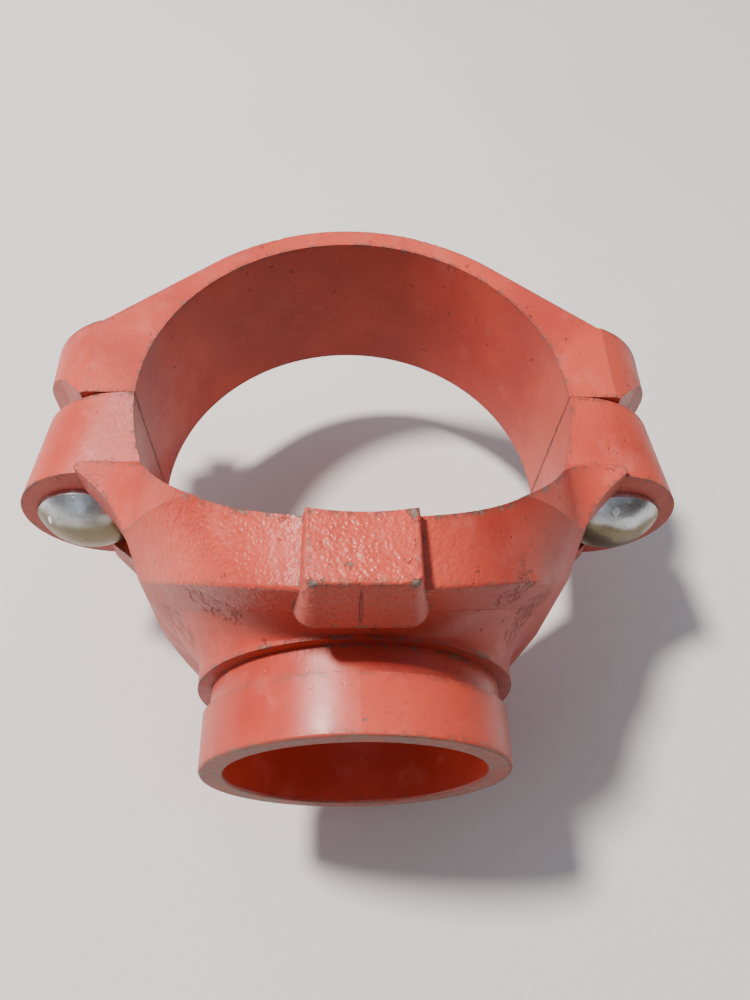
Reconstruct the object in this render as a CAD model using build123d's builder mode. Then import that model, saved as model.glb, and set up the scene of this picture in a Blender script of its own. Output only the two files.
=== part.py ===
"""Mechanical tee: a saddle clamp that bolts a grooved branch outlet onto a larger run pipe.

The origin lies on the axis of the run pipe, half way along the fitting. The run axis is +Z, the
branch outlet points to -Y and the two bolts lie parallel to Y, one each side of the pipe. All sizes
are millimetres.
"""
from build123d import *
from math import cos, hypot, radians, sin, sqrt, tan
import os

# ---------------------------------------------------------------- run pipe and clamp
run_pipe_od = 141.3             # nominal 5 inch pipe
run_clearance = 0.35            # between the pipe and each housing
parting_gap = 0.5               # between the two housings when tightened on the pipe

# ---------------------------------------------------------------- grooved branch outlet
branch_pipe_od = 88.9           # nominal 3 inch pipe
branch_bore = 75.2
centre_to_end = 114.0           # run axis to the end of the outlet
lip_length = 15.88              # end of the outlet to the groove
groove_width = 7.95
groove_depth = 1.98
shoulder_step = 2.05            # the neck behind the groove stands this much above the lip
groove_bevel = 0.8
end_rounding = 0.9

# ---------------------------------------------------------------- saddle of the branch housing
saddle_radius = 74.0            # outline of the saddle about the branch axis
saddle_reach = 89.0             # radius of the front face about the run axis
side_reach = 63.6               # half width of the front face
side_bend = (68.3, 44.8)        # where the side wall turns out towards the ear
side_bend_radius = 54.0
web_half_height = 29.5          # the side wall is flat up to here
ear_root_radius = 18.0          # hollow between the round saddle and the flat side wall
rise_start = 24.0               # the top and the bottom rise from the ears here
rise_half_height = 26.6
rise_angle = 51.0               # degrees
brow_start = 52.0               # the outline draws in to an oval between here and the front face
brow_middle = 64.0
brow_end = 90.0
brow_start_size = (75.0, 76.5)  # half width and half height of the outline at each place
brow_middle_size = (65.5, 74.6)
brow_end_size = (62.5, 71.6)
dish_radius = 57.5              # round recess in the front face, about the branch axis
dish_depth = 5.5                # front face to the floor of the recess
dish_draft = 20.0               # degrees
dish_rounding = 2.5
front_rounding = 1.2
neck_fillet = 6.0

pad_width = 26.5
pad_height = 76.4               # middle of the run to the face of each pad
pad_overhang = 0.3              # the pad stands this far past the front face
pad_draft = 10.0                # degrees
pad_corner_radius = 2.4
pad_rounding = 0.9
pad_root_margin = 1.0           # between the foot of the pad and the recess

# ---------------------------------------------------------------- ears of the branch housing
bolt_spacing = 177.0            # between the two bolt axes
ear_centres = 149.0             # between the centres of the round ends of the ears, at the parting face
branch_ear_radius = 31.0        # ear radius at the parting face
branch_ear_depth = 28.0         # parting plane to the seat of the bolt head
seat_centres = 167.0            # between the centres of the round ends of the ears, at the head seats
seat_radius = 26.3
seat_inner_corner = 86.0        # inner end of the head seat

# ---------------------------------------------------------------- strap housing
strap_width = 61.2
strap_wall = 8.0
strap_ear_radius = 33.0
strap_rounding = 1.2
strap_ear_depth = 31.0          # parting plane to the nut seat
flank_angle = 39.3              # degrees, where the round back turns into the straight flank
ear_end = 108.0                 # middle to the outer end of the strap ear
notch_start = 88.5              # outer end of the parting face
notch_end = (99.0, 12.0)        # outer end of the slope under the ear
notch_side = 19.0               # height where the ear end begins
ear_back_rounding = 4.0

# ---------------------------------------------------------------- gasket
gasket_inner_radius = 45.6
gasket_outer_radius = 57.0
gasket_depth = 5.5              # from the pipe outwards
gasket_clearance = 0.15
pocket_floor_clearance = 0.1

# ---------------------------------------------------------------- bolts and nuts
bolt_diameter = 15.875
bolt_length = 82.55
head_diameter = 32.0
head_height = 9.2
head_edge = 1.5
neck_length = 9.0
neck_extra = 5.0                # the oval neck is this much longer than it is wide
neck_clearance = 0.5
bolt_end_chamfer = 1.5
hole_clearance = 0.8
pocket_clearance = 1.6          # round the bolt head and round the nut
nut_across_flats = 27.0
nut_height = 15.5
nut_chamfer = 1.2
nut_chamfer_angle = 30.0        # degrees
thread_clearance = 0.06
nut_turn_left = 10.0             # degrees
nut_turn_right = 38.0

# ---------------------------------------------------------------- sizes that follow
bore_radius = run_pipe_od / 2 + run_clearance
lip_radius = branch_pipe_od / 2
groove_radius = lip_radius - groove_depth
neck_radius = lip_radius + shoulder_step
groove_front = centre_to_end - lip_length
groove_back = groove_front - groove_width
branch_bore_radius = branch_bore / 2
bolt_x = bolt_spacing / 2
half_gap = parting_gap / 2
head_seat = branch_ear_depth
nut_seat = strap_ear_depth
strap_radius = bore_radius + strap_wall
dish_floor_radius = saddle_reach - dish_depth
pocket_radius = bore_radius + gasket_depth + pocket_floor_clearance
nut_corner_radius = nut_across_flats / sqrt(3)
head_pocket_radius = head_diameter / 2 + pocket_clearance
nut_pocket_radius = nut_corner_radius + pocket_clearance
nut_chamfer_depth = nut_chamfer * tan(radians(nut_chamfer_angle))
bolt_radius = bolt_diameter / 2
hole_width = bolt_diameter + 2 * neck_clearance
hole_length = hole_width + neck_extra
dome_height = head_height - head_edge
dome_radius = ((head_diameter / 2)**2 + dome_height**2) / (2 * dome_height)
past_end = 20.0                 # how far cutting tools run past the metal
wall_overlap = 4.0              # how far a joined block reaches into the bore before it is cut
rise_end = saddle_reach + past_end
rise_end_height = rise_half_height + (rise_end - rise_start) * tan(radians(rise_angle))
pad_root_z = dish_radius + pad_root_margin
root_reach = bore_radius - wall_overlap
seat_inner_end = (strap_radius * cos(radians(flank_angle)) - nut_seat) / tan(radians(flank_angle))
seat_inner_end += strap_radius * sin(radians(flank_angle))


def at_neck_root(edge):
    """Whether an edge runs round the foot of the neck, on the floor of the recess."""
    middle = edge @ 0.5
    on_neck = abs(hypot(middle.X, middle.Z) - neck_radius) < 0.01
    return on_neck and abs(hypot(middle.X, middle.Y) - dish_floor_radius) < 0.01


def on_front_face(edge, place):
    """Whether a point along an edge lies on the front face of the saddle."""
    point = edge @ place
    return abs(hypot(point.X, point.Y) - saddle_reach) < 0.01


def at_dish_rim(edge):
    """Whether an edge runs round the recess in the front face."""
    middle = edge @ 0.5
    return on_front_face(edge, 0.5) and hypot(middle.X, middle.Z) < dish_radius + 0.01


def at_front_outline(edge):
    """Whether an edge is part of the outer edge of the front face."""
    middle = edge @ 0.5
    outside = hypot(middle.X, middle.Z) > dish_radius + 1
    return outside and on_front_face(edge, 0.1) and on_front_face(edge, 0.5) and on_front_face(edge, 0.9)


def at_ear_end(vertex):
    """Whether a corner of the strap plan lies on the outer end of an ear."""
    return abs(abs(vertex.X) - ear_end) < 0.01


def on_strap_back(edge):
    """Whether an edge of the strap follows its round back or its flanks, on the top or the bottom."""
    middle = edge @ 0.5
    on_rim = abs(middle.Z) > strap_width / 2 - 0.01
    return on_rim and middle.Y > nut_seat and hypot(middle.X, middle.Y) > bore_radius


def on_saddle_circle(vertex):
    """Whether a corner of the outline lies on the round part of the saddle."""
    return abs(hypot(vertex.X, vertex.Y) - saddle_radius) < 0.01


def on_front(x):
    """How far the front face of the saddle stands from the run axis, at a given side distance."""
    return sqrt(saddle_reach**2 - x**2)


def side_wall(side):
    """Side wall of the saddle, from the front face to the head seat; side is +1 or -1."""
    return FilletPolyline(
        (side * side_reach, -on_front(side_reach)),
        (side * side_bend[0], -side_bend[1]),
        (side * seat_inner_corner, -head_seat),
        radius=side_bend_radius,
    )


# ---------------------------------------------------------------- cutting tools
# Round recess in the front face. Its floor follows the pipe.
with BuildPart() as dish:
    with BuildSketch(Plane.XZ.offset(saddle_reach)):
        Circle(dish_radius)
    extrude(amount=lip_radius - saddle_reach, taper=dish_draft)
    Cylinder(dish_floor_radius, 2 * saddle_radius, mode=Mode.SUBTRACT)

# Raised pad for the middle of the top, with rounded edges.
with BuildPart() as pad:
    with BuildSketch(Plane.XY.offset(pad_height)):
        with Locations((0, -(saddle_reach + pad_overhang + root_reach) / 2)):
            RectangleRounded(pad_width, saddle_reach + pad_overhang - root_reach, pad_corner_radius)
    extrude(amount=-(pad_height - pad_root_z), taper=-pad_draft)
    fillet(pad.faces().sort_by(Axis.Z)[-1].edges(), pad_rounding)

# What is trimmed off where the saddle's outline draws in to an oval towards the front face.
with BuildPart() as brow:
    for reach, size in (
        (brow_start, brow_start_size),
        (brow_middle, brow_middle_size),
        (brow_end, brow_end_size),
    ):
        with BuildSketch(Plane.XZ.offset(reach)):
            Ellipse(size[0], size[1])
    loft()
with BuildPart() as brow_trim:
    with BuildSketch(Plane.XZ.offset(brow_start)):
        Circle(saddle_radius + past_end)
    extrude(amount=brow_end - brow_start)
    add(brow.part, mode=Mode.SUBTRACT)

# Ring-shaped space for the gasket, open towards the pipe.
with BuildPart() as gasket_pocket:
    with BuildSketch(Plane.XZ):
        Circle(gasket_outer_radius + gasket_clearance)
        Circle(gasket_inner_radius - gasket_clearance, mode=Mode.SUBTRACT)
    extrude(amount=saddle_reach)
    Cylinder(pocket_radius, 2 * saddle_radius, mode=Mode.INTERSECT)

# ---------------------------------------------------------------- branch housing
# The saddle is its plan, seen along the run, trimmed to its outline, seen along the branch.
with BuildPart() as branch_housing:
    with BuildSketch(Plane.XY):
        with BuildLine():
            left_wall = side_wall(-1)
            right_wall = side_wall(1)
            RadiusArc(left_wall @ 0, right_wall @ 0, -saddle_reach)
            Polyline(
                left_wall @ 1,
                (-ear_centres / 2, -half_gap),
                (ear_centres / 2, -half_gap),
                right_wall @ 1,
            )
        make_face()
    extrude(amount=saddle_radius + past_end, both=True)

    with BuildSketch(Plane.XZ) as saddle_outline:
        Circle(saddle_radius)
        Rectangle(bolt_spacing, 2 * web_half_height)
        fillet(saddle_outline.vertices().filter_by(on_saddle_circle), ear_root_radius)
    extrude(amount=saddle_reach + past_end, mode=Mode.INTERSECT)

    # The top and the bottom rise from the ears at one slope.
    with BuildSketch(Plane.YZ):
        Polygon(
            (0, rise_half_height),
            (-rise_start, rise_half_height),
            (-rise_end, rise_end_height),
            (-rise_end, -rise_end_height),
            (-rise_start, -rise_half_height),
            (0, -rise_half_height),
            align=None,
        )
    extrude(amount=ear_centres, both=True, mode=Mode.INTERSECT)

    add(brow_trim.part, mode=Mode.SUBTRACT)
    add(dish.part, mode=Mode.SUBTRACT)
    fillet(branch_housing.edges().filter_by(at_dish_rim), dish_rounding)
    fillet(branch_housing.edges().filter_by(at_front_outline), front_rounding)

    # The neck, the groove and the lip of the outlet.
    with BuildSketch(Plane.YZ) as outlet:
        with BuildLine():
            Polyline(
                (-root_reach, 0),
                (-root_reach, neck_radius),
                (-groove_back, neck_radius),
                (-groove_back, groove_radius),
                (-groove_front + groove_bevel, groove_radius),
                (-groove_front, groove_radius + groove_bevel),
                (-groove_front, lip_radius),
                (-centre_to_end, lip_radius),
                (-centre_to_end, 0),
                close=True,
            )
        make_face()
        fillet(outlet.vertices().group_by(Axis.X)[0].sort_by(Axis.Y)[-1], end_rounding)
    revolve(axis=Axis.Y)

    # Round the foot of the neck.
    fillet(branch_housing.edges().filter_by(at_neck_root), neck_fillet)

    # Ears: one long rounded block from the parting face to the head seats.
    with BuildSketch(Plane.XZ.offset(half_gap)):
        SlotCenterToCenter(ear_centres, 2 * branch_ear_radius)
    with BuildSketch(Plane.XZ.offset(head_seat)):
        SlotCenterToCenter(seat_centres, 2 * seat_radius)
    loft()

    # Pads in the middle of the top and of the bottom.
    add(pad.part)
    add(pad.part.mirror(Plane.XY))

    # Run bore, gasket pocket, branch bore.
    Cylinder(bore_radius, 2 * (saddle_radius + past_end), mode=Mode.SUBTRACT)
    add(gasket_pocket.part, mode=Mode.SUBTRACT)
    with BuildSketch(Plane.XZ):
        Circle(branch_bore_radius)
    extrude(amount=centre_to_end, mode=Mode.SUBTRACT)
    fillet(branch_housing.edges().group_by(Axis.Y)[0].sort_by(SortBy.LENGTH)[0], end_rounding)

    # Oval bolt holes, and room for the bolt heads.
    with BuildSketch(Plane.XZ.offset(half_gap)):
        with Locations((-bolt_x, 0), (bolt_x, 0)):
            SlotOverall(hole_length, hole_width)
    extrude(amount=head_seat, mode=Mode.SUBTRACT)
    with BuildSketch(Plane.XZ.offset(head_seat)):
        with Locations((-bolt_x, 0), (bolt_x, 0)):
            Circle(head_pocket_radius)
    extrude(amount=saddle_reach, mode=Mode.SUBTRACT)
branch_housing.part.label = "branch_housing"

# ---------------------------------------------------------------- strap housing
with BuildPart() as strap_housing:
    with BuildSketch(Plane.XY) as strap_plan:
        with BuildLine():
            back = CenterArc((0, 0), strap_radius, 90 - flank_angle, 2 * flank_angle)
            for side, end in ((1, back @ 0), (-1, back @ 1)):
                Polyline(
                    end,
                    (side * seat_inner_end, nut_seat),
                    (side * ear_end, nut_seat),
                    (side * ear_end, notch_side),
                    (side * notch_end[0], notch_end[1]),
                    (side * notch_start, half_gap),
                )
            Line((-notch_start, half_gap), (notch_start, half_gap))
        make_face()
        fillet(strap_plan.vertices().filter_by(at_ear_end), ear_back_rounding)
    extrude(amount=strap_width / 2, both=True)
    fillet(strap_housing.edges().filter_by(on_strap_back), strap_rounding)
    with BuildSketch(Plane.XZ):
        SlotCenterToCenter(ear_centres, 2 * strap_ear_radius)
    extrude(amount=-(strap_radius + past_end), mode=Mode.INTERSECT)
    Cylinder(bore_radius, strap_width + past_end, mode=Mode.SUBTRACT)

    # Bolt holes, and room for the nuts.
    with BuildSketch(Plane.XZ):
        with Locations((-bolt_x, 0), (bolt_x, 0)):
            Circle(bolt_radius + hole_clearance)
    extrude(amount=-strap_radius, mode=Mode.SUBTRACT)
    with BuildSketch(Plane.XZ.offset(-nut_seat)):
        with Locations((-bolt_x, 0), (bolt_x, 0)):
            Circle(nut_pocket_radius)
    extrude(amount=-strap_radius, mode=Mode.SUBTRACT)
strap_housing.part.label = "strap_housing"

# ---------------------------------------------------------------- gasket
with BuildPart() as saddle_gasket:
    with BuildSketch(Plane.XZ):
        Circle(gasket_outer_radius)
        Circle(gasket_inner_radius, mode=Mode.SUBTRACT)
    extrude(amount=saddle_reach)
    Cylinder(bore_radius + gasket_depth, 2 * saddle_radius, mode=Mode.INTERSECT)
    Cylinder(bore_radius, 2 * saddle_radius, mode=Mode.SUBTRACT)
saddle_gasket.part.label = "saddle_gasket"


# ---------------------------------------------------------------- bolts and nuts
def track_bolt(x):
    """Oval-neck track bolt with a domed head, its axis parallel to Y at the given x."""
    with BuildPart() as bolt:
        with BuildSketch(Plane.YZ.offset(x)):
            with BuildLine():
                Polyline(
                    (-head_seat - head_height, 0),
                    (-head_seat, 0),
                    (-head_seat, head_diameter / 2),
                    (-head_seat - head_edge, head_diameter / 2),
                )
                RadiusArc(
                    (-head_seat - head_height, 0),
                    (-head_seat - head_edge, head_diameter / 2),
                    dome_radius,
                )
            make_face()
        revolve(axis=Axis((x, 0, 0), (0, 1, 0)))
        with BuildSketch(Plane.XZ.offset(head_seat)):
            with Locations((x, 0)):
                SlotOverall(bolt_diameter + neck_extra, bolt_diameter)
        extrude(amount=-neck_length)
        with BuildSketch(Plane.XZ.offset(head_seat - neck_length)):
            with Locations((x, 0)):
                Circle(bolt_radius)
        extrude(amount=neck_length - bolt_length)
        chamfer(bolt.edges().sort_by(Axis.Y)[-1], bolt_end_chamfer)
    return bolt.part


def hex_nut(x, turn):
    """Heavy hexagon nut on the seat of the strap ear at the given x, turned by an angle in degrees."""
    with BuildPart() as nut:
        with BuildSketch(Plane.XZ.offset(-nut_seat)):
            with Locations((x, 0)):
                Circle(nut_corner_radius)
        extrude(amount=-nut_height)
        chamfer(nut.edges().filter_by(GeomType.CIRCLE), nut_chamfer_depth, nut_chamfer)
        with BuildSketch(Plane.XZ.offset(-nut_seat)):
            with Locations((x, 0)):
                RegularPolygon(nut_corner_radius, 6, rotation=turn)
        extrude(amount=-nut_height, mode=Mode.INTERSECT)
        with BuildSketch(Plane.XZ.offset(-nut_seat)):
            with Locations((x, 0)):
                Circle(bolt_radius + thread_clearance)
        extrude(amount=-nut_height, mode=Mode.SUBTRACT)
    return nut.part


bolt_left = track_bolt(-bolt_x)
bolt_left.label = "bolt_left"
bolt_right = track_bolt(bolt_x)
bolt_right.label = "bolt_right"
nut_left = hex_nut(-bolt_x, nut_turn_left)
nut_left.label = "nut_left"
nut_right = hex_nut(bolt_x, nut_turn_right)
nut_right.label = "nut_right"

os.makedirs("parts", exist_ok=True)
export_step(branch_housing.part, "parts/branch_housing.step")
export_step(strap_housing.part, "parts/strap_housing.step")
export_step(saddle_gasket.part, "parts/saddle_gasket.step")
export_step(bolt_left, "parts/bolt_left.step")
export_step(bolt_right, "parts/bolt_right.step")
export_step(nut_left, "parts/nut_left.step")
export_step(nut_right, "parts/nut_right.step")
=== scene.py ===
"""Looks of a grooved mechanical tee: a branch casting and a strap casting, primed orange, held by two bolts.

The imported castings, bolts, nuts and gasket keep their own shapes and get painted, plated and rubber finishes
here. Pieces that only matter to the eye are built beside them: the threads on the ends of the bolts, and the
smooth flare that carries the neck of the outlet into the front face.
"""

from __future__ import annotations

import logging
import math
from dataclasses import dataclass, field, replace
from enum import Enum

import bpy
from mathutils import Matrix, Vector


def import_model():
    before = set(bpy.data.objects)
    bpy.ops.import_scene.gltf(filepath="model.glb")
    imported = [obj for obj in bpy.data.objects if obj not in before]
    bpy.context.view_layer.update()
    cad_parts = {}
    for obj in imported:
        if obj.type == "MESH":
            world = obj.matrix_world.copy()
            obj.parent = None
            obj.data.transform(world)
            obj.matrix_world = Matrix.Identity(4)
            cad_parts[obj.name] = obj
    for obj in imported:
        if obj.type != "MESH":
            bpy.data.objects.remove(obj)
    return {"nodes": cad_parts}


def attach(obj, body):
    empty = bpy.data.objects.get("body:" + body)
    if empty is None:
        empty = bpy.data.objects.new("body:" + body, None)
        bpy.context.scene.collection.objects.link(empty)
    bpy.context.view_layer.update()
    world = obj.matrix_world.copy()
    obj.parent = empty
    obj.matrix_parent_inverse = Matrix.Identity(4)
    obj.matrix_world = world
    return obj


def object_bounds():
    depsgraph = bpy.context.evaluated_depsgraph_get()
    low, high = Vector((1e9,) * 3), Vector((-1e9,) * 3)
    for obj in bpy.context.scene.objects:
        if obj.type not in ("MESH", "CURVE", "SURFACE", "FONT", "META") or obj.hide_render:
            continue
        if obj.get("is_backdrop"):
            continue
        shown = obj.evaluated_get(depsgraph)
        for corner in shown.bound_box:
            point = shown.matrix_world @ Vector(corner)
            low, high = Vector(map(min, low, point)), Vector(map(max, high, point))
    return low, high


LOG = logging.getLogger("mechanical_tee")

MIX_FIRST, MIX_SECOND, MIX_RESULT = 6, 7, 2  # the colour sockets of a mix node
BEVEL_SAMPLES = 6
WELD = 1e-6  # metres within which vertices are merged

Colour = tuple[float, float, float]
Point = tuple[float, float, float]
Socket = bpy.types.NodeSocket


class Body(Enum):
    """The moving bodies that the scene's own pieces ride on."""

    BRANCH = "branch"


class Slot(Enum):
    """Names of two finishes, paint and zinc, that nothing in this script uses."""

    PAINT = "paint"
    ZINC = "zinc"


# ---------------------------------------------------------------- patterns and places


@dataclass(frozen=True)
class Spot:
    """One place on a piece: its centre and radius in metres, narrower where a stretch factor is above 1."""

    centre: Point
    radius: float
    stretch: Point = (1, 1, 1)


@dataclass(frozen=True)
class Pattern:
    """Fractal noise: features per metre, octaves, strength of the finer ones, stretch and shift."""

    scale: float
    detail: float = 2.0
    roughness: float = 0.5
    stretch: Point = (1, 1, 1)
    shift: Point = (0, 0, 0)


@dataclass(frozen=True)
class Step:
    """A smooth step, between two values of its driver, from a start level to an end level."""

    low: float
    high: float
    start: float = 0.0
    end: float = 1.0

    def apply(self, node: bpy.types.ShaderNode) -> None:
        """Sets a range node to this step.

        Args:
            node: the range node.
        """
        node.interpolation_type = "SMOOTHSTEP"
        node.inputs["From Min"].default_value = self.low
        node.inputs["From Max"].default_value = self.high
        node.inputs["To Min"].default_value = self.start
        node.inputs["To Max"].default_value = self.end


# ---------------------------------------------------------------- node graph


class Graph:
    """Short calls that build one material's node tree."""

    def __init__(self, name: str) -> None:
        """Starts a material with a shader and an output.

        Args:
            name: the material's name.
        """
        self.material = bpy.data.materials.new(name)
        self.material.use_nodes = True
        self.tree = self.material.node_tree
        self.tree.nodes.clear()
        self.shader = self.tree.nodes.new("ShaderNodeBsdfPrincipled")
        output = self.tree.nodes.new("ShaderNodeOutputMaterial")
        self.tree.links.new(self.shader.outputs["BSDF"], output.inputs["Surface"])
        self.place = self.tree.nodes.new("ShaderNodeTexCoord").outputs["Object"]
        axes = self.tree.nodes.new("ShaderNodeSeparateXYZ")
        self.tree.links.new(self.place, axes.inputs[0])
        self.y, self.z = axes.outputs["Y"], axes.outputs["Z"]

    def feed(self, target: Socket, source: Socket | float | Colour) -> None:
        """Links a socket, or sets the value on the target socket.

        Args:
            target: the input socket.
            source: an output socket, a number or a colour.
        """
        if isinstance(source, bpy.types.NodeSocket):
            self.tree.links.new(source, target)
        elif isinstance(source, tuple) and target.type == "RGBA":
            target.default_value = (*source, 1.0)
        else:
            target.default_value = source

    def math(
        self, operation: str, first: Socket | float, second: Socket | float, clamp: bool = False
    ) -> Socket:
        """One arithmetic step.

        Args:
            operation: the name of the operation.
            first: the first operand.
            second: the second operand.
            clamp: whether the result is kept within 0 and 1.

        Returns:
            The result socket.
        """
        node = self.tree.nodes.new("ShaderNodeMath")
        node.operation = operation
        node.use_clamp = clamp
        self.feed(node.inputs[0], first)
        self.feed(node.inputs[1], second)
        return node.outputs[0]

    def plus(self, first: Socket | float, second: Socket | float) -> Socket:
        """Adds two values."""
        return self.math("ADD", first, second)

    def minus(self, first: Socket | float, second: Socket | float) -> Socket:
        """Takes the second value from the first."""
        return self.math("SUBTRACT", first, second)

    def times(self, first: Socket | float, second: Socket | float) -> Socket:
        """Multiplies two values."""
        return self.math("MULTIPLY", first, second)

    def strongest(self, *masks: Socket) -> Socket:
        """The largest of several masks.

        Args:
            masks: the masks.

        Returns:
            Their maximum.
        """
        best = masks[0]
        for mask in masks[1:]:
            best = self.math("MAXIMUM", best, mask)
        return best

    def mapped(self, stretch: Point, shift: Point) -> Socket:
        """The piece's own coordinates, stretched and then shifted.

        Args:
            stretch: factors on the three axes.
            shift: offset on the three axes.

        Returns:
            The coordinates.
        """
        mapping = self.tree.nodes.new("ShaderNodeMapping")
        mapping.inputs["Scale"].default_value = stretch
        mapping.inputs["Location"].default_value = shift
        self.tree.links.new(self.place, mapping.inputs["Vector"])
        return mapping.outputs[0]

    def noise(self, pattern: Pattern) -> Socket:
        """Fractal noise over the piece's own coordinates.

        Args:
            pattern: its scale, detail and place.

        Returns:
            The noise socket, around 0.5.
        """
        node = self.tree.nodes.new("ShaderNodeTexNoise")
        node.inputs["Scale"].default_value = pattern.scale
        node.inputs["Detail"].default_value = pattern.detail
        node.inputs["Roughness"].default_value = pattern.roughness
        self.tree.links.new(self.mapped(pattern.stretch, pattern.shift), node.inputs["Vector"])
        return node.outputs["Fac"]

    def cells(self, scale: float) -> Socket:
        """Distance to scattered points.

        Args:
            scale: points per metre.

        Returns:
            The distance socket, 0 at a point.
        """
        node = self.tree.nodes.new("ShaderNodeTexVoronoi")
        node.inputs["Scale"].default_value = scale
        self.tree.links.new(self.place, node.inputs["Vector"])
        return node.outputs["Distance"]

    def ramp(self, value: Socket, step: Step) -> Socket:
        """A smooth step from one level to another.

        Args:
            value: the driving value.
            step: where the step lies, and its levels.

        Returns:
            The stepped value.
        """
        node = self.tree.nodes.new("ShaderNodeMapRange")
        step.apply(node)
        self.feed(node.inputs["Value"], value)
        return node.outputs[0]

    def blend(self, factor: Socket, first: Socket | Colour, second: Socket | Colour) -> Socket:
        """Mixes two colours.

        Args:
            factor: 0 for the first, 1 for the second.
            first: the first colour.
            second: the second colour.

        Returns:
            The mixed colour.
        """
        node = self.tree.nodes.new("ShaderNodeMix")
        node.data_type = "RGBA"
        self.feed(node.inputs["Factor"], factor)
        self.feed(node.inputs[MIX_FIRST], first)
        self.feed(node.inputs[MIX_SECOND], second)
        return node.outputs[MIX_RESULT]

    def near(self, spot: Spot) -> Socket:
        """A soft mask round one place.

        Args:
            spot: the place.

        Returns:
            1 at the centre, falling to 0 at the radius.
        """
        shift = tuple(-centre * factor for centre, factor in zip(spot.centre, spot.stretch))
        length = self.tree.nodes.new("ShaderNodeVectorMath")
        length.operation = "LENGTH"
        self.tree.links.new(self.mapped(spot.stretch, shift), length.inputs[0])
        return self.ramp(length.outputs["Value"], Step(0.0, spot.radius, 1.0, 0.0))

    def spots(self, places: tuple[Spot, ...], step: Step | None = None) -> Socket | None:
        """One mask for several places.

        Args:
            places: the places.
            step: a step that reshapes the mask of each place.

        Returns:
            The joint mask, or None where there are no places.
        """
        masks = [self.near(place) for place in places]
        if step is not None:
            masks = [self.ramp(mask, step) for mask in masks]
        return self.strongest(*masks) if masks else None

    def convex_edge(self, radius: float) -> Socket:
        """How far the rounded normal departs from the true one: large only near an edge.

        Args:
            radius: the reach of the rounding, in metres.

        Returns:
            0 on flat ground, rising towards an edge.
        """
        rounded = self.tree.nodes.new("ShaderNodeBevel")
        rounded.samples = BEVEL_SAMPLES
        rounded.inputs["Radius"].default_value = radius
        flat = self.tree.nodes.new("ShaderNodeNewGeometry")
        dot = self.tree.nodes.new("ShaderNodeVectorMath")
        dot.operation = "DOT_PRODUCT"
        self.tree.links.new(rounded.outputs[0], dot.inputs[0])
        self.tree.links.new(flat.outputs["Normal"], dot.inputs[1])
        return self.math("SUBTRACT", 1.0, dot.outputs["Value"], clamp=True)

    def facing(self, axis: str) -> Socket:
        """One component of the surface's own normal.

        Args:
            axis: the axis, "X", "Y" or "Z".

        Returns:
            The component, -1 to 1.
        """
        coordinates = self.tree.nodes.new("ShaderNodeTexCoord")
        parts = self.tree.nodes.new("ShaderNodeSeparateXYZ")
        self.tree.links.new(coordinates.outputs["Normal"], parts.inputs[0])
        return parts.outputs[axis]

    def finish(
        self, colour: Socket, rough: Socket | float, height: Socket, depth: float
    ) -> bpy.types.Material:
        """Feeds the shader.

        Args:
            colour: the base colour.
            rough: the roughness.
            height: the relief, in units of the depth.
            depth: that depth, in metres.

        Returns:
            The material.
        """
        self.feed(self.shader.inputs["Base Color"], colour)
        self.feed(self.shader.inputs["Roughness"], rough)
        relief = self.tree.nodes.new("ShaderNodeBump")
        relief.inputs["Strength"].default_value = 1.0
        relief.inputs["Distance"].default_value = depth
        self.tree.links.new(height, relief.inputs["Height"])
        self.tree.links.new(relief.outputs[0], self.shader.inputs["Normal"])
        return self.material


# ---------------------------------------------------------------- finishes


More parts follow.
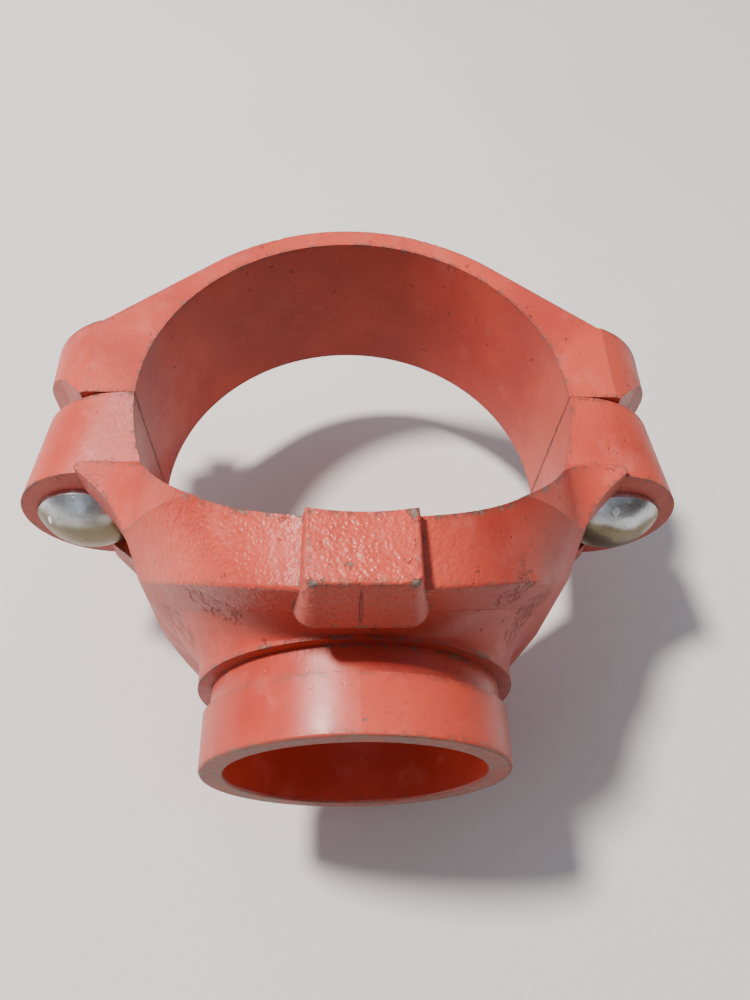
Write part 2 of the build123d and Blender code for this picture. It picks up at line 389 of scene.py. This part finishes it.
@dataclass(frozen=True)
class CastPaint:
    """Orange primer over sand-cast iron: orange peel, pits, rubbed edges and chips down to the metal, and
    painted shade on faces turned to the front.

    A step says where a mask sets in, a share how much of it counts. Heights are in units of the depth.
    """

    name: str
    roughness: float = 0.46
    wear: float = 1.0
    grain: float = 0.16

    # Colours.
    deep: Colour = (0.43, 0.040, 0.024)
    bright: Colour = (0.56, 0.066, 0.038)
    chalk: Colour = (0.58, 0.120, 0.095)
    # The dirt colour is also the colour of the painted shade on faces turned to the front.
    dirt_and_shade: Colour = (0.19, 0.030, 0.020)
    metal: Colour = (0.19, 0.125, 0.095)
    rub: Colour = (0.21, 0.062, 0.042)

    # Places, and the Y up to which the end of the outlet is rubbed.
    smooth: tuple[Spot, ...] = ()
    coarse: tuple[Spot, ...] = ()
    chips: tuple[Spot, ...] = ()
    scars: tuple[Spot, ...] = ()
    seams: tuple[Spot, ...] = ()
    rubbed_end: float | None = None

    # The primer's tone, its chalky patches, the dirt on it, and painted shade that darkens faces turned to the
    # front.
    tone: Pattern = Pattern(22.0, 3.0)
    tone_step: Step = Step(0.38, 0.64)
    patches: Pattern = Pattern(85.0, 4.0, 0.6, shift=(3.1, 1.7, 0.4))
    chalk_step: Step = Step(0.52, 0.74)
    chalk_share: float = 0.45
    specks: Pattern = Pattern(620.0, 3.0, 0.65)
    speck_step: Step = Step(0.56, 0.72)
    speck_share: float = 0.28
    front_shade_step: Step = Step(-0.97, -0.6, 0.32, 0.0)

    # Smooth ground, and the pits everywhere else.
    calm_step: Step = Step(0.0, 0.12)
    calm_share: float = 0.9
    pits: Pattern = Pattern(240.0, 3.0, 0.6, shift=(0.2, 5.1, 2.2))
    pit_step: Step = Step(0.66, 0.74)
    pit_share: float = 0.55
    pit_height: float = 0.5

    # Rubbed and bare edges, and chips.
    ragged: Pattern = Pattern(330.0, 4.0, 0.7, shift=(1.4, 0.2, 7.7))
    edge_reach: float = 0.003
    worn_step: Step = Step(0.006, 0.05)
    worn_gaps: Step = Step(0.42, 0.56)
    worn_share: float = 0.75
    bare_step: Step = Step(0.012, 0.05)
    bare_gaps: Step = Step(0.55, 0.61)
    bare_height: float = 0.5
    bare_roughness: float = 0.62
    chip_pull: float = 0.5
    chip_step: Step = Step(0.9, 0.97)

    # The rubbed end of the outlet.
    end_fade: float = 0.0004
    smear: Pattern = Pattern(130.0, 4.0, 0.65, stretch=(1, 0.2, 1), shift=(9.0, 0, 3.0))
    smear_step: Step = Step(0.3, 0.62, 0.35, 1.0)
    shade_step: Step = Step(0.4, 0.66)

    # Scars and seams.
    scar: Pattern = Pattern(300.0, 4.0, 0.7, stretch=(1, 1, 0.6), shift=(2.0, 2.0, 2.0))
    scar_step: Step = Step(0.45, 0.58)
    scar_edge: Step = Step(0.0, 0.35)
    scar_height: float = 1.1
    scar_share: float = 0.2
    seam_edge: Step = Step(0.0, 0.5)
    seam_height: float = 1.6
    seam_share: float = 0.6

    # Relief: orange peel, and the lumps and beads of the sand.
    peel: Pattern = Pattern(1500.0, 2.0)
    peel_height: float = 0.12
    lumps: Pattern = Pattern(480.0, 2.0, 0.5)
    swell: Pattern = Pattern(190.0, 2.0)
    swell_height: float = 0.7
    bead_scale: float = 760.0
    bead_step: Step = Step(0.08, 0.62, 1.0, 0.0)
    bead_height: float = 0.22
    coarse_height: float = 0.95
    depth: float = 0.0006

    # Gloss.
    gloss_step: Step = Step(0.3, 0.7)
    glossier: float = 0.05
    duller: float = 0.08
    shine: float = 0.12
    coat: float = 0.06
    coat_roughness: float = 0.2
    specular: float = 0.32

    def tint_and_painted_light(self, graph: Graph, patches: Socket, pits: Socket) -> Socket:
        """Lays the primer's tone, its chalky patches, its dirt, and painted shade on faces turned to the
        front.

        Args:
            graph: the material's graph.
            patches: the patchy noise.
            pits: the mask of the pits.

        Returns:
            The colour.
        """
        colour = graph.blend(graph.ramp(graph.noise(self.tone), self.tone_step), self.deep, self.bright)
        chalky = graph.times(graph.ramp(patches, self.chalk_step), self.chalk_share)
        colour = graph.blend(chalky, colour, self.chalk)
        colour = graph.blend(graph.times(pits, self.pit_share), colour, self.dirt_and_shade)
        specks = graph.times(graph.ramp(graph.noise(self.specks), self.speck_step), self.speck_share)
        colour = graph.blend(specks, colour, self.dirt_and_shade)
        # Painted shade: faces turned to the front are darkened towards the dirt colour.
        return graph.blend(graph.ramp(graph.facing("Y"), self.front_shade_step), colour, self.dirt_and_shade)

    def edges(self, graph: Graph, ragged: Socket, live: Socket | float) -> tuple[Socket, Socket]:
        """Finds the rubbed edges, and the bare ones with the chips.

        Args:
            graph: the material's graph.
            ragged: the noise that breaks the edges up.
            live: 1 on rough ground, near 0 on smooth ground.

        Returns:
            The rubbed mask and the bare mask.
        """
        edge = graph.convex_edge(self.edge_reach)
        worn = graph.times(graph.ramp(edge, self.worn_step), graph.ramp(ragged, self.worn_gaps))
        bare_edge = graph.ramp(edge, replace(self.bare_step, end=self.wear))
        bare = graph.times(graph.times(bare_edge, graph.ramp(ragged, self.bare_gaps)), live)
        for spot in self.chips:
            torn = graph.plus(graph.times(graph.near(spot), self.chip_pull), ragged)
            bare = graph.strongest(bare, graph.ramp(torn, self.chip_step))
        return worn, bare

    def gloss(self, graph: Graph, patches: Socket, bare: Socket, *shiny: Socket | None) -> Socket:
        """Sets how dull the paint and the bare metal are.

        Args:
            graph: the material's graph.
            patches: the patchy noise.
            bare: the bare mask.
            shiny: masks of glossier ground, if any.

        Returns:
            The roughness.
        """
        low, high = self.roughness - self.glossier, self.roughness + self.duller
        rough = graph.ramp(patches, replace(self.gloss_step, start=low, end=high))
        for mask in shiny:
            if mask is not None:
                rough = graph.minus(rough, graph.times(mask, self.shine))
        return graph.strongest(rough, graph.times(bare, self.bare_roughness))

    def relief(self, graph: Graph, level: Socket | None, live: Socket | float, pits: Socket) -> Socket:
        """Raises the grain of the casting and sinks its pits.

        Args:
            graph: the material's graph.
            level: the mask of the coarse places, if any.
            live: 1 on rough ground, near 0 on smooth ground.
            pits: the mask of the pits.

        Returns:
            The height.
        """
        peel = graph.times(graph.times(graph.noise(self.peel), self.peel_height), live)
        lumps = graph.plus(graph.noise(self.lumps), graph.times(graph.noise(self.swell), self.swell_height))
        beads = graph.ramp(graph.cells(self.bead_scale), self.bead_step)
        lumps = graph.plus(lumps, graph.times(beads, self.bead_height))
        amount = self.grain
        if level is not None:
            amount = graph.plus(graph.times(level, self.coarse_height), self.grain)
        height = graph.plus(graph.times(lumps, graph.times(amount, live)), peel)
        return graph.minus(height, graph.times(pits, self.pit_height))

    def rubbed(self, graph: Graph, ragged: Socket, colour: Socket, rough: Socket) -> tuple[Socket, Socket]:
        """Rubs the paint off the end face of the outlet.

        Args:
            graph: the material's graph.
            ragged: the noise that mixes rubbed paint and metal.
            colour: the colour so far.
            rough: the roughness so far.

        Returns:
            The new colour and roughness.
        """
        end = graph.ramp(graph.y, Step(self.rubbed_end, self.rubbed_end + self.end_fade, 1.0, 0.0))
        smear = graph.ramp(graph.noise(self.smear), self.smear_step)
        shade = graph.blend(graph.ramp(ragged, self.shade_step), self.rub, self.metal)
        colour = graph.blend(graph.times(end, smear), colour, shade)
        return colour, graph.strongest(rough, graph.times(end, self.bare_roughness))

    def marked(self, graph: Graph, colour: Socket, height: Socket) -> tuple[Socket, Socket]:
        """Cuts the scars and the seams.

        Args:
            graph: the material's graph.
            colour: the colour so far.
            height: the height so far.

        Returns:
            The new colour and height.
        """
        for spot in self.scars:
            torn = graph.ramp(graph.noise(self.scar), self.scar_step)
            cut = graph.times(torn, graph.ramp(graph.near(spot), self.scar_edge))
            height = graph.minus(height, graph.times(cut, self.scar_height))
            colour = graph.blend(graph.times(cut, self.scar_share), colour, self.dirt_and_shade)
        for spot in self.seams:
            crease = graph.ramp(graph.near(spot), self.seam_edge)
            height = graph.minus(height, graph.times(crease, self.seam_height))
            colour = graph.blend(graph.times(crease, self.seam_share), colour, self.dirt_and_shade)
        return colour, height

    def build(self) -> bpy.types.Material:
        """Makes the material.

        Returns:
            The painted finish.
        """
        graph = Graph(self.name)
        patches = graph.noise(self.patches)
        ragged = graph.noise(self.ragged)
        level = graph.spots(self.coarse)
        calm = graph.spots(self.smooth, self.calm_step)
        live = 1.0 if calm is None else graph.minus(1.0, graph.times(calm, self.calm_share))
        pits = graph.times(graph.ramp(graph.noise(self.pits), self.pit_step), live)
        worn, bare = self.edges(graph, ragged, live)
        colour = self.tint_and_painted_light(graph, patches, pits)
        colour = graph.blend(graph.times(worn, self.worn_share * self.wear), colour, self.rub)
        colour = graph.blend(bare, colour, self.metal)
        rough = self.gloss(graph, patches, bare, calm, level)
        if self.rubbed_end is not None:
            colour, rough = self.rubbed(graph, ragged, colour, rough)
        colour, height = self.marked(graph, colour, self.relief(graph, level, live, pits))
        height = graph.minus(height, graph.times(bare, self.bare_height))
        graph.shader.inputs["Coat Weight"].default_value = self.coat
        graph.shader.inputs["Coat Roughness"].default_value = self.coat_roughness
        graph.shader.inputs["Specular IOR Level"].default_value = self.specular
        return graph.finish(colour, rough, height, self.depth)


@dataclass(frozen=True)
class ZincPlate:
    """Bright zinc plating with a straw tint, handling scratches and dull patches, and painted reflection that
    makes it darker straw low down.
    """

    name: str
    bright: Colour = (0.74, 0.79, 0.83)
    # The straw colour is the zinc's own tint and also the painted reflection low down.
    straw_and_reflection: Colour = (0.17, 0.145, 0.095)
    grime: Colour = (0.16, 0.15, 0.12)
    scratched: Colour = (0.9, 0.9, 0.88)
    scratches: tuple[Spot, ...] = ()
    scratch_step: Step = Step(0.25, 0.6)

    # The tint drifts at random, and painted reflection makes it darker straw low down and brighter towards the
    # top.
    drift: Pattern = Pattern(45.0, 3.0)
    painted_reflection_lean: Step = Step(0.001, 0.014, 0.26, -0.24)
    tint_step: Step = Step(0.36, 0.68)
    stain: Pattern = Pattern(310.0, 4.0, 0.7, shift=(4, 0, 0))
    stain_step: Step = Step(0.62, 0.74)
    stain_share: float = 0.6

    # Fine lines, dull patches and relief.
    lines: Pattern = Pattern(900.0, 2.0, stretch=(1, 1, 0.06))
    line_step: Step = Step(0.66, 0.7)
    line_roughness: float = 0.15
    dull: Pattern = Pattern(120.0, 4.0, 0.6)
    dull_step: Step = Step(0.3, 0.7, 0.27, 0.4)
    swell: Pattern = Pattern(260.0, 3.0)
    peel: Pattern = Pattern(1400.0, 1.0)
    peel_height: float = 0.25
    line_height: float = 0.25
    depth: float = 0.00018

    def build(self) -> bpy.types.Material:
        """Makes the material.

        Returns:
            The plated finish.
        """
        graph = Graph(self.name)
        # Painted reflection: darker straw low down, brighter towards the top.
        tint_and_painted_light = graph.plus(graph.noise(self.drift), graph.ramp(graph.z, self.painted_reflection_lean))
        colour = graph.blend(graph.ramp(tint_and_painted_light, self.tint_step), self.bright, self.straw_and_reflection)
        stain = graph.ramp(graph.noise(self.stain), self.stain_step)
        colour = graph.blend(graph.times(stain, self.stain_share), colour, self.grime)
        line = graph.ramp(graph.noise(self.lines), self.line_step)
        for spot in self.scratches:
            scratch = graph.ramp(graph.near(spot), self.scratch_step)
            colour = graph.blend(scratch, colour, self.scratched)
            line = graph.strongest(line, scratch)
        rough = graph.ramp(graph.noise(self.dull), self.dull_step)
        rough = graph.plus(rough, graph.times(line, self.line_roughness))
        height = graph.plus(graph.noise(self.swell), graph.times(graph.noise(self.peel), self.peel_height))
        height = graph.plus(height, graph.times(line, self.line_height))
        graph.shader.inputs["Metallic"].default_value = 1.0
        return graph.finish(colour, rough, height, self.depth)


@dataclass(frozen=True)
class MouldedRubber:
    """Black moulded rubber with a bloom of grey dust."""

    name: str
    base: Colour = (0.018, 0.018, 0.018)
    bloom: Colour = (0.055, 0.052, 0.05)
    dust: Pattern = Pattern(60.0, 4.0, 0.6)
    dust_step: Step = Step(0.42, 0.7)
    dull: Pattern = Pattern(200.0, 3.0)
    dull_step: Step = Step(0.3, 0.7, 0.5, 0.68)
    grain: Pattern = Pattern(900.0, 3.0)
    depth: float = 0.0001

    def build(self) -> bpy.types.Material:
        """Makes the material.

        Returns:
            The rubber finish.
        """
        graph = Graph(self.name)
        colour = graph.blend(graph.ramp(graph.noise(self.dust), self.dust_step), self.base, self.bloom)
        rough = graph.ramp(graph.noise(self.dull), self.dull_step)
        return graph.finish(colour, rough, graph.noise(self.grain), self.depth)


@dataclass(frozen=True)
class PaleFloor:
    """Matt pale paper under the object."""

    name: str
    light: Colour = (0.74, 0.695, 0.655)
    dark: Colour = (0.69, 0.645, 0.605)
    drift: Pattern = Pattern(3.0, 3.0)
    drift_step: Step = Step(0.35, 0.65)
    roughness: float = 0.85
    grain: Pattern = Pattern(500.0, 3.0)
    depth: float = 0.00015

    def build(self) -> bpy.types.Material:
        """Makes the material.

        Returns:
            The floor finish.
        """
        graph = Graph(self.name)
        colour = graph.blend(graph.ramp(graph.noise(self.drift), self.drift_step), self.light, self.dark)
        return graph.finish(colour, self.roughness, graph.noise(self.grain), self.depth)


# ---------------------------------------------------------------- mesh tools


def clear_selection() -> None:
    """Deselects every object."""
    bpy.ops.object.select_all(action="DESELECT")


def only(piece: bpy.types.Object) -> None:
    """Makes one object the only selected and active one.

    Args:
        piece: the object.
    """
    clear_selection()
    piece.select_set(True)
    bpy.context.view_layer.objects.active = piece


def closed_outline(corners: list[tuple[float, float]]) -> bpy.types.Object:
    """Draws a closed wire in the XY plane.

    Args:
        corners: its corners, in metres.

    Returns:
        The wire.
    """
    clear_selection()
    bpy.ops.mesh.primitive_circle_add(vertices=len(corners), fill_type="NOTHING", location=(0, 0, 0))
    wire = bpy.context.active_object
    for vertex, (across, along) in zip(wire.data.vertices, corners):
        vertex.co = (across, along, 0.0)
    return wire


def open_mesh(piece: bpy.types.Object) -> None:
    """Puts a piece into edit mode with all of it selected.

    Args:
        piece: the object.
    """
    only(piece)
    bpy.ops.object.mode_set(mode="EDIT")
    bpy.ops.mesh.select_all(action="SELECT")


def close_mesh() -> None:
    """Turns all faces of the open piece outward and leaves edit mode."""
    bpy.ops.mesh.select_all(action="SELECT")
    bpy.ops.mesh.normals_make_consistent(inside=False)
    bpy.ops.object.mode_set(mode="OBJECT")


def settle(piece: bpy.types.Object, name: str) -> None:
    """Names a piece and puts its place into its mesh.

    Args:
        piece: the object.
        name: its name.
    """
    only(piece)
    bpy.ops.object.transform_apply(location=True, rotation=True, scale=True)
    piece.name = name
    piece.data.name = name


def dress(piece: bpy.types.Object, material: bpy.types.Material) -> None:
    """Gives every material slot of a piece one finish.

    Args:
        piece: the object.
        material: the finish.
    """
    if not piece.material_slots:
        piece.data.materials.append(material)
    for slot in piece.material_slots:
        slot.material = material


# ---------------------------------------------------------------- sub-assemblies


@dataclass
class Studio:
    """Camera, floor and light, with angles in radians, lengths in metres and powers in watts."""

    camera_place: Point = (-0.006634, -0.165143, 0.236758)
    pitch: float = 1.023318
    yaw: float = 0.0977863
    roll: float = 0.0882179
    lens: float = 28.9008
    sensor: float = 36.0
    clip_start: float = 0.005
    floor_size: float = 6.0
    floor_cells: int = 8
    floor_drop: float = 0.0002
    key_direction: Point = (-0.46, 0.14, 1.0)
    key_distance: float = 1.6
    key_size: float = 0.22
    key_power: float = 50.0
    key_colour: Colour = (1.0, 0.965, 0.93)
    window_place: Point = (-0.42, -1.26, 0.5)
    window_size: float = 0.6
    window_power: float = 0.85
    window_colour: Colour = (0.72, 0.86, 1.0)
    sky: Colour = (0.80, 0.87, 1.0)
    rim: Colour = (0.09, 0.07, 0.055)
    sky_strength: float = 0.62
    sky_lean: Point = (-0.1, 0.45, 0.89)
    sky_step: Step = Step(-0.1, 0.85)

    def camera(self) -> bpy.types.Object:
        """Places the camera.

        Returns:
            The camera.
        """
        flat = math.cos(self.pitch)
        forward = Vector((math.sin(self.yaw) * flat, math.cos(self.yaw) * flat, -math.sin(self.pitch)))
        level = Vector((math.cos(self.yaw), -math.sin(self.yaw), 0.0))
        up = level.cross(forward)
        right = math.cos(self.roll) * level + math.sin(self.roll) * up
        top = -math.sin(self.roll) * level + math.cos(self.roll) * up
        data = bpy.data.cameras.new("camera")
        data.sensor_fit = "AUTO"
        data.sensor_width = self.sensor
        data.lens = self.lens
        data.clip_start = self.clip_start
        camera = bpy.data.objects.new("camera", data)
        bpy.context.collection.objects.link(camera)
        turn = Matrix((right, top, -forward)).transposed()
        camera.matrix_world = Matrix.Translation(self.camera_place) @ turn.to_4x4()
        bpy.context.scene.camera = camera
        return camera

    def floor(self, low: float) -> bpy.types.Object:
        """Lays the floor under the object.

        Args:
            low: the height of the object's lowest point, in metres.

        Returns:
            The floor.
        """
        clear_selection()
        bpy.ops.mesh.primitive_grid_add(
            x_subdivisions=self.floor_cells,
            y_subdivisions=self.floor_cells,
            size=self.floor_size,
            location=(0, 0, low - self.floor_drop),
        )
        floor = bpy.context.active_object
        settle(floor, "floor")
        dress(floor, PaleFloor("pale_floor").build())
        floor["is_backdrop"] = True
        return floor

    def lamp(self, name: str, place: Vector, size: float, power: float, colour: Colour) -> None:
        """Adds a round area light aimed at the object.

        Args:
            name: the light's name.
            place: where it hangs.
            size: its diameter, in metres.
            power: its power, in watts.
            colour: its colour.
        """
        data = bpy.data.lights.new(name, "AREA")
        data.shape = "DISK"
        data.size = size
        data.energy = power
        data.color = colour
        lamp = bpy.data.objects.new(name, data)
        bpy.context.collection.objects.link(lamp)
        lamp.matrix_world = Matrix.Translation(place) @ (place.to_track_quat("Z", "Y")).to_matrix().to_4x4()

    def lights(self) -> None:
        """Hangs the lights."""
        key = Vector(self.key_direction).normalized() * self.key_distance
        self.lamp("key", key, self.key_size, self.key_power, self.key_colour)
        window = Vector(self.window_place)
        self.lamp("window", window, self.window_size, self.window_power, self.window_colour)

    def glow(self) -> None:
        """Sets the surrounding glow: a bright sky that leans away from the camera, over a dim warm rim."""
        world = bpy.data.worlds.new("glow")
        world.use_nodes = True
        tree = world.node_tree
        background = tree.nodes["Background"]
        direction = tree.nodes.new("ShaderNodeTexCoord").outputs["Generated"]
        tilt = tree.nodes.new("ShaderNodeVectorMath")
        tilt.operation = "DOT_PRODUCT"
        tilt.inputs[1].default_value = self.sky_lean
        tree.links.new(direction, tilt.inputs[0])
        height = tree.nodes.new("ShaderNodeMapRange")
        self.sky_step.apply(height)
        tree.links.new(tilt.outputs["Value"], height.inputs["Value"])
        mix = tree.nodes.new("ShaderNodeMix")
        mix.data_type = "RGBA"
        mix.inputs[MIX_FIRST].default_value = (*self.rim, 1.0)
        mix.inputs[MIX_SECOND].default_value = (*self.sky, 1.0)
        tree.links.new(height.outputs[0], mix.inputs["Factor"])
        tree.links.new(mix.outputs[MIX_RESULT], background.inputs["Color"])
        background.inputs["Strength"].default_value = self.sky_strength
        bpy.context.scene.world = world


@dataclass
class Threads:
    """Rolled threads on the bolt ends that stand out of the nuts, with lengths in metres."""

    spacing: float = 0.177
    start: float = 0.0455
    end: float = 0.05405
    major: float = 0.0081
    minor: float = 0.0073
    pitch: float = 0.0023
    flank_share: float = 0.46
    steps: int = 48
    end_corners: int = 4
    crease: float = math.radians(30)
    pieces: list[bpy.types.Object] = field(default_factory=list)

    def helix(self, name: str, x: float) -> bpy.types.Object:
        """One thread ridge, screwed from a small triangle.

        Args:
            name: the piece's name.
            x: the bolt axis, in metres.

        Returns:
            The thread.
        """
        half = self.pitch * self.flank_share
        piece = closed_outline([(self.minor, -half), (self.major, 0.0), (self.minor, half)])
        screw = piece.modifiers.new("screw", "SCREW")
        screw.axis = "Y"
        screw.screw_offset = self.pitch
        screw.iterations = int((self.end - self.start) / self.pitch)
        screw.steps = self.steps
        screw.render_steps = self.steps
        screw.use_merge_vertices = True
        only(piece)
        bpy.ops.object.modifier_apply(modifier="screw")
        open_mesh(piece)
        bpy.ops.mesh.remove_doubles(threshold=WELD)
        bpy.ops.mesh.fill_holes(sides=self.end_corners)
        close_mesh()
        piece.location = (x, self.start + half, 0.0)
        settle(piece, name)
        bpy.ops.object.shade_smooth_by_angle(angle=self.crease)
        return piece

    def build(self, finish: bpy.types.Material) -> None:
        """Makes both threads and lets them ride with the bolts.

        Args:
            finish: the plated finish.
        """
        for name, side in (("thread_left", -1), ("thread_right", 1)):
            piece = self.helix(name, side * self.spacing / 2)
            dress(piece, finish)
            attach(piece, Body.BRANCH.value)
            self.pieces.append(piece)


@dataclass
class NeckFlare:
    """The flare that carries the neck of the outlet into the front face, with lengths in metres.

    Its outline is spun with heights in shares of the rise, one share being `share_unit` long, and is bent to
    the face afterwards.
    """

    neck_radius: float = 0.04635
    rim_radius: float = 0.0592
    face_radius: float = 0.0889
    rise: float = 0.0095
    neck_end: float = 0.0898
    depth: float = 0.004
    sink: float = 0.0003
    share_unit: float = 0.01
    skirt_share: float = -1.0
    steps: int = 14
    turns: int = 128
    crease: float = math.radians(50)

    def profile(self) -> list[tuple[float, float]]:
        """Outline of the flare: distance from the branch axis, and share of the rise above the front face.

        Returns:
            The closed outline.
        """
        reach = self.rim_radius - self.neck_radius
        points = [(self.rim_radius, self.skirt_share)]
        for step in range(self.steps + 1):
            angle = math.pi / 2 * step / self.steps
            points.append((self.rim_radius - reach * math.sin(angle), 1.0 - math.cos(angle)))
        points.append((self.neck_radius, self.skirt_share))
        return points

    def bend(self, piece: bpy.types.Object) -> None:
        """Lays the spun flare on the round front face, and keeps it short of the groove.

        Args:
            piece: the spun flare.
        """
        for vertex in piece.data.vertices:
            spot = vertex.co
            around = self.neck_radius * spot.x / math.hypot(spot.x, spot.z)
            room = self.neck_end - math.sqrt(self.face_radius**2 - around**2)
            share = spot.y / self.share_unit
            skirt = share <= self.skirt_share / 2
            height = -self.depth if skirt else share * min(self.rise, room) - self.sink
            spot.y = -math.sqrt(self.face_radius**2 - spot.x**2) - height

    def build(self, finish: bpy.types.Material) -> bpy.types.Object:
        """Spins the flare round the branch axis and bends it to the front face.

        Args:
            finish: the painted finish.

        Returns:
            The flare.
        """
        piece = closed_outline([(radius, share * self.share_unit) for radius, share in self.profile()])
        open_mesh(piece)
        bpy.ops.mesh.spin(steps=self.turns, angle=2 * math.pi, center=(0, 0, 0), axis=(0, 1, 0))
        bpy.ops.mesh.select_all(action="SELECT")
        bpy.ops.mesh.remove_doubles(threshold=WELD)
        close_mesh()
        self.bend(piece)
        open_mesh(piece)
        close_mesh()
        settle(piece, "neck_flare")
        bpy.ops.object.shade_smooth_by_angle(angle=self.crease)
        dress(piece, finish)
        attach(piece, Body.BRANCH.value)
        return piece


@dataclass
class Castings:
    """The two imported castings, and the places where their paint differs."""

    nodes: dict[str, bpy.types.Object]
    rubbed_end: float = -0.1138
    coarse: tuple[Spot, ...] = (
        Spot((0.0, -0.078, 0.0764), 0.034),
        Spot((-0.040, -0.070, 0.055), 0.040),
    )
    smooth: tuple[Spot, ...] = (Spot((0.0, -0.104, 0.0), 0.060, (1.0, 2.6, 1.0)),)
    chips: tuple[Spot, ...] = (
        Spot((0.0118, -0.0712, 0.0764), 0.0062, (1.3, 0.8, 1)),
        Spot((-0.0037, -0.0846, 0.0764), 0.0040),
        Spot((-0.0108, -0.0895, 0.0764), 0.0055, (0.8, 1.2, 1)),
        Spot((0.0113, -0.0890, 0.0764), 0.0055, (1.2, 0.8, 1)),
        Spot((0.0010, -0.1103, 0.0445), 0.0018, (1, 2.2, 1)),
        Spot((-0.034, -0.0793, 0.055), 0.004, (0.5, 1, 1)),
    )
    seams: tuple[Spot, ...] = (Spot((-0.0004, -0.0890, 0.0665), 0.0095, (17.0, 1.0, 1.0)),)
    scars: tuple[Spot, ...] = (
        Spot((-0.0375, -0.0808, 0.0450), 0.0110, (1, 0.5, 1.2)),
        Spot((-0.0512, -0.0727, 0.0150), 0.0120, (1.6, 0.5, 1)),
        Spot((0.0480, -0.0750, 0.0270), 0.0130, (1.3, 0.5, 1)),
        Spot((0.0400, -0.0795, 0.0500), 0.0080, (1, 0.5, 1)),
    )
    strap_deep: Colour = (0.42, 0.040, 0.025)
    strap_bright: Colour = (0.56, 0.066, 0.036)
    strap_grain: float = 0.2

    def paint(self) -> bpy.types.Material:
        """Paints the branch casting and the strap.

        Returns:
            The paint of the flare, which has no worn edge.
        """
        branch = CastPaint(
            "branch_primer",
            rubbed_end=self.rubbed_end,
            coarse=self.coarse,
            smooth=self.smooth,
            chips=self.chips,
            seams=self.seams,
            scars=self.scars,
        )
        strap = CastPaint(
            "strap_primer", deep=self.strap_deep, bright=self.strap_bright, grain=self.strap_grain
        )
        dress(self.nodes["branch_housing"], branch.build())
        dress(self.nodes["strap_housing"], strap.build())
        return CastPaint("flare_primer", wear=0.0, scars=self.scars).build()


@dataclass
class Hardware:
    """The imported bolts, nuts and gasket, with the scratch on each bolt head."""

    nodes: dict[str, bpy.types.Object]
    left_scratch: Spot = Spot((-0.0985, -0.033, 0.0055), 0.0016, (1, 1, 0.4))
    right_scratch: Spot = Spot((0.0865, -0.033, 0.0135), 0.0016, (0.8, 1, 0.25))
    # The nuts' straw colour is also their painted reflection low down.
    nut_straw_and_reflection: Colour = (0.55, 0.54, 0.46)

    def finish(self) -> bpy.types.Material:
        """Plates the bolts and nuts and blackens the gasket.

        Returns:
            The plated finish, for the threads.
        """
        nuts = ZincPlate("nut_zinc", straw_and_reflection=self.nut_straw_and_reflection).build()
        finishes = {
            "bolt_left": ZincPlate("bolt_zinc_left", scratches=(self.left_scratch,)).build(),
            "bolt_right": ZincPlate("bolt_zinc_right", scratches=(self.right_scratch,)).build(),
            "nut_left": nuts,
            "nut_right": nuts,
            "saddle_gasket": MouldedRubber("gasket_rubber").build(),
        }
        for name, material in finishes.items():
            dress(self.nodes[name], material)
        return nuts


def main() -> None:
    """Builds the scene."""
    logging.basicConfig(level=logging.INFO, format="%(name)s: %(message)s")
    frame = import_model()
    cad_low, cad_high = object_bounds()
    nodes = frame["nodes"]
    studio = Studio()
    studio.camera()
    studio.floor(cad_low[2])
    studio.lights()
    studio.glow()
    paint = Castings(nodes).paint()
    plated = Hardware(nodes).finish()
    threads = Threads()
    threads.build(plated)
    flare = NeckFlare().build(paint)
    for piece in (*threads.pieces, flare):
        LOG.info("%s: %d faces", piece.name, len(piece.data.polygons))


if __name__ == "__main__":
    main()
